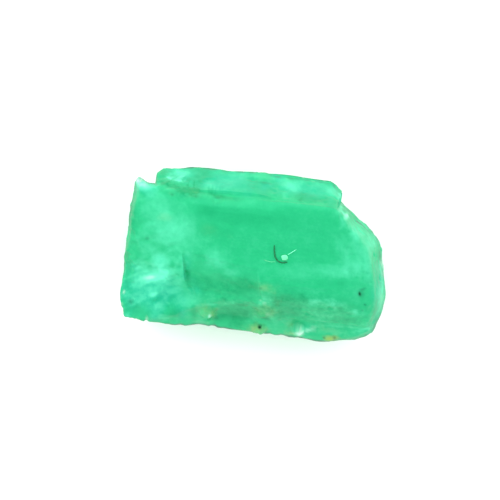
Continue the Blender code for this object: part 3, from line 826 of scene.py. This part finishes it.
def paintLayers(surface, skin, edge, normals):
    # The patches hold above the widest level, and veils, stains and specks of no set place below it.
    above = heightOverWidest(surface)
    over = np.maximum(ramp(above, *paint["overLevel"]), ramp(normals[:, 2], *paint["overFacing"]))
    under = 1.0 - over
    flat = surface * (1.0, 1.0, paint["flatten"])
    rim = outlineShadeAndFilm(surface, flat, normals, above)
    wall = steepness(normals, *paint["wallSteep"])
    noise, amount = paint["wobble"]
    wobble = roughness(flat, *noise) * amount
    noise, amount = paint["ragged"]
    ragged = wobble + roughness(flat, *noise) * amount
    flaked = roughness(flat, *paint["flaked"])

    bends = {"tone": ragged, "white": ragged, "stain": ragged, "orange": ragged, "frost": wobble,
             "teal": wobble, "speck": wobble * paint["speckWobble"]}
    seen = {layer: over * patchSum(surface, patches[layer], bend, layer) for layer, bend in bends.items()}

    tone = seen["tone"] + over * (scoopStreaks(surface) - stripScribbles(flat, surface, wobble))
    noise, amount = paint["underVeils"]
    tone += under * roughness(surface, *noise) * amount
    noise, amount = paint["wallMottle"]
    # Painted shade: the steep walls are painted deeper, with lighter and darker mottle over it.
    tone += wall * (roughness(surface, *noise) * amount - paint["wallShade"])
    noise, grown, broken = paint["mottle"]
    tone += (grown + broken * skin) * roughness(flat, *noise)
    # Painted shade along the outline, made lighter and darker by the flakes.
    tone += edge * paint["edgeTone"] * flaked + rim * (paint["rimShade"] + paint["rimFlakes"] * flaked)

    blot, amount = paint["underStain"]
    stain = seen["stain"] + under * amount * blots(surface, *blot)
    whole, flakes, noise, least, most = paint["crumbShares"]
    crumbs = whole + flakes * flaked + noise * smoothNoise(flat, *paint["crumbs"])
    white = seen["white"] * np.clip(crumbs, least, most)
    shifts = [smoothNoise(surface, (0.3,) * 3, seed) for seed in (181, 183, 187)]
    bent = surface + paint["bend"] * np.stack(shifts, axis=1)
    white += under * blots(bent, *paint["underWhite"])
    blot, amount = paint["rimWhite"]
    white += (paint["edgeWhite"] * edge + rim) * amount * blots(flat, *blot)
    blot, amount = paint["underSpeck"]
    speck = seen["speck"] + under * amount * blots(bent, *blot)
    whole, flakes, noise, most = paint["filmShares"]
    patchy = whole + flakes * flaked + noise * smoothNoise(flat, *paint["filmPatches"])
    return {
        "tone": tone,
        "stain": stain,
        "orange": seen["orange"],
        "speck": speck,
        "frost": seen["frost"] + paint["underFrost"] * under,
        "white": white,
        "teal": seen["teal"],
        # The patchy grey film along the outline is partly its painted shade.
        "filmAndShade": rim * paint["rimFilmAndShade"] * np.clip(patchy, 0.0, most),
    }


def linearColour(hexCode):      # sRGB hex to linear
    parts = np.array([int(hexCode[at:at + 2], 16) for at in (0, 2, 4)]) / 255
    linear = np.where(parts <= 0.04045, parts / 12.92, ((parts + 0.055) / 1.055) ** 2.4)
    return (*linear.tolist(), 1.0)


def addNode(tree, kind, settings=None, links=None, output=0):
    # It gives back the socket that the next node takes, or none where the node has no output.
    node = tree.nodes.new(kind)
    for name, value in (settings or {}).items():
        if name in node.inputs.keys() or isinstance(name, int):
            node.inputs[name].default_value = value
        else:
            setattr(node, name, value)
    for name, source in (links or {}).items():
        tree.links.new(source, node.inputs[name])
    return node.outputs[output] if len(node.outputs) else None


emeraldLook = {
    "deepAndShaded": "0CAC6C",
    "body": "2CCC8A",
    "teal": "26CAA2",
    "milkyAndLit": "68F4C6",
    "stain": "A6BE6C",
    "orange": "C8C830",
    "filmAndShade": "4E6A5E",       # grey film along the outline, which also paints its shade
    "white": "DCFFF0",
    "speck": "003A1C",
    "ior": 1.58,
    "specular": 0.10,
    "specularTint": (0.24, 1.0, 0.80, 1.0),
    "transmission": 0.40,
    "milkyTransmission": 0.28,
    "absorptionColour": (0.02, 0.951, 0.856, 1.0),
    "absorptionDensity": 900.0,
    "smoothRoughness": 0.29,
    "brokenRoughness": 0.48,
    "drawnOut": (0.85, 1.0, 0.55),      # the noises are longer along the crystal and downwards
    "mottleSize": 0.21,     # millimetres, like the other sizes and the spacing
    "mottle": 0.10,
    "frostMottle": 0.60,
    "mottleEnds": (0.30, 0.70),     # noise values that count as deepest and lightest
    "gritSize": 0.09,
    "grain": 0.08,
    "frostGrain": 0.24,
    "grainEnds": (0.25, 0.75),
    "fleckSpacing": 0.46,
    "fleckEdge": (0.13, 0.06),      # share of the spacing where a pale fleck fades in
    "fleck": 0.60,
    "toneEnds": (-1.0, 1.3),        # tones that count as deepest and milkiest
    "stainEnds": (0.38, 0.62),
    "stainShares": (0.55, 1.35),    # how much stain lies in the hollows and on the crests of that noise
    "bump": (0.25, 0.012),          # strength, and height of the grit in millimetres
}


def rawEmeraldMaterial():
    # Emerald, a green beryl, as grown and as broken: glassy and striated on the prism faces,
    # frosted and greasy on the breaks, clouded by veils inside and stained by iron.
    look = emeraldLook
    material = bpy.data.materials.new("raw_emerald_beryl")
    material.use_nodes = True
    tree = material.node_tree
    tree.nodes.clear()
    where = addNode(tree, "ShaderNodeTexCoord", output="Object")
    layer = {name: addNode(tree, "ShaderNodeAttribute", {"attribute_name": name}, output="Fac")
             for name in ("skin", "tone", "frost", "white", "stain", "speck", "orange", "teal", "filmAndShade")}
    drawn = addNode(tree, "ShaderNodeMapping", {"Scale": look["drawnOut"]}, {"Vector": where})
    cloud = addNode(tree, "ShaderNodeTexNoise",
                    {"Scale": 1 / (look["mottleSize"] * mm), "Detail": 5.0, "Roughness": 0.6},
                    {"Vector": drawn})
    grit = addNode(tree, "ShaderNodeTexNoise",
                   {"Scale": 1 / (look["gritSize"] * mm), "Detail": 3.0}, {"Vector": drawn})
    # Each noise is spread to -1 and 1 and added to the tone, the more the frostier the skin.
    tone = layer["tone"]
    for noise, ends, plain, frosted in ((cloud, "mottleEnds", "mottle", "frostMottle"),
                                        (grit, "grainEnds", "grain", "frostGrain")):
        amount = addNode(tree, "ShaderNodeMapRange", {"To Min": look[plain], "To Max": look[frosted]},
                         {"Value": layer["frost"]})
        low, high = look[ends]
        spread = addNode(tree, "ShaderNodeMapRange",
                         {"From Min": low, "From Max": high, "To Min": -1.0, "To Max": 1.0},
                         {"Value": noise})
        tone = addNode(tree, "ShaderNodeMath", {"operation": "MULTIPLY_ADD"},
                       {0: spread, 1: amount, 2: tone})
    spots = addNode(tree, "ShaderNodeTexVoronoi", {"Scale": 1 / (look["fleckSpacing"] * mm)},
                    {"Vector": where})
    outer, inner = look["fleckEdge"]
    fleck = addNode(tree, "ShaderNodeMapRange",
                    {"From Min": outer, "From Max": inner, "To Min": 0.0, "To Max": look["fleck"]},
                    {"Value": spots})
    fleck = addNode(tree, "ShaderNodeMath", {"operation": "MULTIPLY"}, {0: fleck, 1: layer["frost"]})
    tone = addNode(tree, "ShaderNodeMath", {"operation": "ADD"}, {0: tone, 1: fleck})
    # The tone holds the stone's veils and deeper green and the painted light and shade: below zero it turns
    # deep, above zero milky.
    deepest, milkiest = look["toneEnds"]
    lighter = addNode(tree, "ShaderNodeMapRange", {"From Min": 0.0, "From Max": milkiest}, {"Value": tone})
    deeper = addNode(tree, "ShaderNodeMapRange", {"From Min": 0.0, "From Max": deepest}, {"Value": tone})
    low, high = look["stainEnds"]
    least, most = look["stainShares"]
    patchy = addNode(tree, "ShaderNodeMapRange",
                     {"From Min": low, "From Max": high, "To Min": least, "To Max": most}, {"Value": cloud})
    stained = addNode(tree, "ShaderNodeMath", {"operation": "MULTIPLY"}, {0: patchy, 1: layer["stain"]})
    # The colours lie over each other, the last one on top.
    green = addNode(tree, "ShaderNodeMix",
                    {"data_type": "RGBA", 6: linearColour(look["body"]), 7: linearColour(look["teal"])},
                    {0: layer["teal"]}, 2)
    for name, share in (("deepAndShaded", deeper), ("milkyAndLit", lighter), ("stain", stained),
                        ("orange", layer["orange"]), ("filmAndShade", layer["filmAndShade"]), ("white", layer["white"]),
                        ("speck", layer["speck"])):
        green = addNode(tree, "ShaderNodeMix", {"data_type": "RGBA", 7: linearColour(look[name])},
                        {0: share, 6: green}, 2)
    # What is stained, milky or dark lets less light through.
    opaque = addNode(tree, "ShaderNodeMath", {"operation": "MAXIMUM"}, {0: layer["stain"], 1: lighter})
    opaque = addNode(tree, "ShaderNodeMath", {"operation": "MAXIMUM"}, {0: opaque, 1: layer["speck"]})
    clear = addNode(tree, "ShaderNodeMapRange",
                    {"To Min": look["transmission"], "To Max": look["milkyTransmission"]}, {"Value": opaque})
    rough = addNode(tree, "ShaderNodeMapRange",
                    {"To Min": look["smoothRoughness"], "To Max": look["brokenRoughness"]},
                    {"Value": layer["skin"]})
    strength, height = look["bump"]
    bump = addNode(tree, "ShaderNodeBump", {"Strength": strength, "Distance": height * mm}, {"Height": grit})
    surface = addNode(tree, "ShaderNodeBsdfPrincipled",
                      {"IOR": look["ior"], "Specular IOR Level": look["specular"],
                       "Specular Tint": look["specularTint"]},
                      {"Base Color": green, "Roughness": rough, "Transmission Weight": clear,
                       "Normal": bump})
    volume = addNode(tree, "ShaderNodeVolumeAbsorption",
                     {"Color": look["absorptionColour"], "Density": look["absorptionDensity"]})
    addNode(tree, "ShaderNodeOutputMaterial", {}, {"Surface": surface, "Volume": volume})
    return material


# A short dark fibre, two pale ones and a white grain that lie on the top face near its middle.
onTop = {
    "darkFibre": [(0.61, 0.40), (0.64, 0.16), (0.68, -0.05), (0.78, -0.19), (0.92, -0.25), (1.06, -0.24),
                  (1.18, -0.19)],
    "paleFibre": [(1.14, 0.06), (1.24, 0.13), (1.34, 0.21), (1.44, 0.29)],
    "paleTail": [(0.30, -0.22), (0.42, -0.25), (0.56, -0.27), (0.74, -0.24)],
    "fibreRadius": 0.026,
    "paleRadius": 0.013,
    "tailRadius": 0.008,
    "thinning": (0.65, 8),      # how much thinner the ends are, and how suddenly
    "grain": (1.05, -0.05, 0.12, 0.11, 0.06),     # middle, half sizes along X, Y and Z
    "grainLines": (24, 28),     # rings and spokes of its grid
    "uneven": (0.9, 2, 91, 0.20),       # noise of its radius, and how strong it is
    "level": 4.405,
    "fibreColours": ("0E5A34", "1E7A4C"),       # each is mottled between the two
    "paleColours": ("8CF8CC", "5CE8B0"),
    "grainColours": ("74E0A4", "60D8A4"),
    "mottleSize": 0.05,
    "roughness": 0.7,
    "specular": 0.2,
}


def alongPath(points, radius, level, around=10, steps=40):
    # Formula: a circle carried along a smooth curve through the points, thinning to its two ends.
    corners = np.array(points, float)
    spots = np.linspace(0, len(corners) - 1, steps)
    for _ in range(2):
        path = np.stack([np.interp(spots, np.arange(len(corners)), corners[:, k]) for k in (0, 1)], axis=1)
        padded = np.pad(path, ((2, 2), (0, 0)), mode="edge")
        path = sum(padded[k:k + steps] for k in range(5)) / 5
        corners, spots = path, np.linspace(0, steps - 1, steps)
    way = np.gradient(path, axis=0)
    way /= np.linalg.norm(way, axis=1, keepdims=True)
    turn = np.linspace(0, 2 * np.pi, around, endpoint=False)
    thinner, power = onTop["thinning"]
    size = radius * (1.0 - thinner * np.linspace(-1, 1, steps) ** power)
    rim = size[:, None] * np.cos(turn)
    x = path[:, :1] - way[:, 1:] * rim
    y = path[:, 1:] + way[:, :1] * rim
    z = level + size[:, None] * np.sin(turn) + np.zeros((steps, 1))
    body = np.stack([x, y, z], axis=-1).reshape(-1, 3)
    ends = np.array([[*path[0], level], [*path[-1], level]])
    return np.concatenate([ends[:1], body, ends[1:]]), steps + 2, around


def placeOnTop(name, places, rings, spokes, material):
    quads, triangles = closedGrid(rings - 1, spokes)
    places = places.copy()
    places[:, :2] -= np.array(crystal["boxMiddle"])
    made = plainMesh(name, places, quads, triangles, {})
    made.data.materials.append(material)
    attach(made, "root")
    return made


def dustMaterial(name, colours):
    # Dust and mineral grains: dull, mottled at the scale of the fibre.
    material = bpy.data.materials.new(name)
    material.use_nodes = True
    tree = material.node_tree
    where = addNode(tree, "ShaderNodeTexCoord", output="Object")
    noise = addNode(tree, "ShaderNodeTexNoise", {"Scale": 1 / (onTop["mottleSize"] * mm), "Detail": 3.0},
                    {"Vector": where})
    first, second = (linearColour(colour) for colour in colours)
    tint = addNode(tree, "ShaderNodeMix", {"data_type": "RGBA", 6: first, 7: second}, {0: noise}, 2)
    surface = tree.nodes["Principled BSDF"]
    surface.inputs["Roughness"].default_value = onTop["roughness"]
    surface.inputs["Specular IOR Level"].default_value = onTop["specular"]
    tree.links.new(tint, surface.inputs["Base Color"])
    return material


def buildDust():
    dark = dustMaterial("dark_fibre_dust", onTop["fibreColours"])
    pale = dustMaterial("pale_fibre_dust", onTop["paleColours"])
    white = dustMaterial("white_grain_calcite", onTop["grainColours"])
    level = onTop["level"]
    # The thin tail is as white as the grain that it lies by.
    for name, radius, material in (("darkFibre", "fibreRadius", dark), ("paleFibre", "paleRadius", pale),
                                   ("paleTail", "tailRadius", white)):
        places, rings, spokes = alongPath(onTop[name], onTop[radius], level)
        placeOnTop(name, places, rings, spokes, material)
    # Formula: an ellipsoid from its two angles, with an uneven radius.
    x, y, halfX, halfY, halfZ = onTop["grain"]
    rings, spokes = onTop["grainLines"]
    polar = np.linspace(0.0, np.pi, rings + 1)[1:-1, None]
    turn = np.linspace(0.0, 2 * np.pi, spokes, endpoint=False)
    across = np.sin(polar)
    ball = np.stack([across * np.cos(turn), across * np.sin(turn), np.cos(polar) + 0 * turn], axis=-1)
    ball = np.concatenate([[[0, 0, 1.0]], ball.reshape(-1, 3), [[0, 0, -1.0]]])
    wave, octaves, seed, strength = onTop["uneven"]
    ball *= (1.0 + strength * roughness(ball + 5.0, wave, octaves, seed))[:, None]
    places = np.array((x, y, level)) + ball * np.array((halfX, halfY, halfZ))
    placeOnTop("whiteGrain", places, rings + 1, spokes, white)
    print("dust on the top face: 4 pieces")


studio = {
    "floorHalf": 400.0,     # half the floor's side, in millimetres
    "floorDrop": 0.02,      # how far it lies under the stone
    "floorColour": "FAFAFA",
    "floorRoughness": 0.9,
    "floorSpecular": 0.1,
    "worldStrength": 2.0,
    "zenith": "808080",
    "zenithFrom": (0.72, 0.97),     # heights on the sky's sphere between which it turns to that grey
    "brightSide": (-0.45, 0.80, 0.40),      # towards the brighter wall of the tent
    "contrast": 0.38,
    "lens": 300.0,
    "sensor": 36.0,
    "photoTurn": 6.5,
    "photoPixel": 0.03729,  # millimetres for each pixel of the photograph
    "photoHalf": 250,       # half its width in pixels
    "photoMiddle": (-0.252, 0.081),
    "outlineHeight": 2.2,
    "clip": (0.002, 5.0),   # metres
}


def buildFloor():
    # White paper: matt, so it shows soft light and next to no reflection.
    half, level = studio["floorHalf"], -studio["floorDrop"]
    sides = ((-half, -half), (half, -half), (half, half), (-half, half))
    corners = np.array([(x, y, level) for x, y in sides])
    floor = plainMesh("floor", corners, np.array([[0, 1, 2, 3]]), np.zeros((0, 3), int), {})
    material = bpy.data.materials.new("white_paper")
    material.use_nodes = True
    surface = material.node_tree.nodes["Principled BSDF"]
    surface.inputs["Base Color"].default_value = linearColour(studio["floorColour"])
    surface.inputs["Roughness"].default_value = studio["floorRoughness"]
    surface.inputs["Specular IOR Level"].default_value = studio["floorSpecular"]
    floor.data.materials.append(material)


def buildWorld():
    # A light tent: white all round, brighter on one side, and grey in its opening overhead.
    world = bpy.data.worlds.new("light_tent")
    bpy.context.scene.world = world
    world.use_nodes = True
    tree = world.node_tree
    tree.nodes.clear()
    way = addNode(tree, "ShaderNodeTexCoord", output="Generated")
    height = addNode(tree, "ShaderNodeSeparateXYZ", {}, {0: way}, 2)
    low, high = studio["zenithFrom"]
    hole = addNode(tree, "ShaderNodeMapRange",
                   {"From Min": low, "From Max": high, "To Min": 0.0, "To Max": 1.0}, {"Value": height})
    tone = addNode(tree, "ShaderNodeMix",
                   {"data_type": "RGBA", 6: (1, 1, 1, 1), 7: linearColour(studio["zenith"])}, {0: hole}, 2)
    towards = addNode(tree, "ShaderNodeVectorMath", {"operation": "DOT_PRODUCT", 1: studio["brightSide"]},
                      {0: way}, "Value")
    weakest = studio["worldStrength"] * (1 - studio["contrast"])
    strongest = studio["worldStrength"] * (1 + studio["contrast"])
    strength = addNode(tree, "ShaderNodeMapRange",
                       {"From Min": -1.0, "From Max": 1.0, "To Min": weakest, "To Max": strongest},
                       {"Value": towards})
    light = addNode(tree, "ShaderNodeBackground", {}, {"Color": tone, "Strength": strength})
    addNode(tree, "ShaderNodeOutputWorld", {}, {"Surface": light})


def buildCamera():
    # Formula: the distance at which the lens takes in the photograph's width at the outline's height.
    data = bpy.data.cameras.new("photo_view")
    data.lens = studio["lens"]
    data.sensor_width = studio["sensor"]
    half = studio["photoHalf"] * studio["photoPixel"] * mm
    distance = half / (data.sensor_width / 2 / data.lens)
    camera = bpy.data.objects.new("photo_view", data)
    x, y = (np.array(studio["photoMiddle"]) - np.array(crystal["boxMiddle"])) * mm
    camera.location = (x, y, distance + studio["outlineHeight"] * mm)
    camera.rotation_euler = (0.0, 0.0, math.radians(studio["photoTurn"]))
    data.clip_start, data.clip_end = studio["clip"]
    bpy.context.scene.collection.objects.link(camera)
    bpy.context.scene.camera = camera


buildCrystal()
buildDust()
buildFloor()
print("floor: 1 stage piece")
buildWorld()
buildCamera()
bpy.context.scene.view_settings.view_transform = "Standard"
print("light tent and camera: placed")
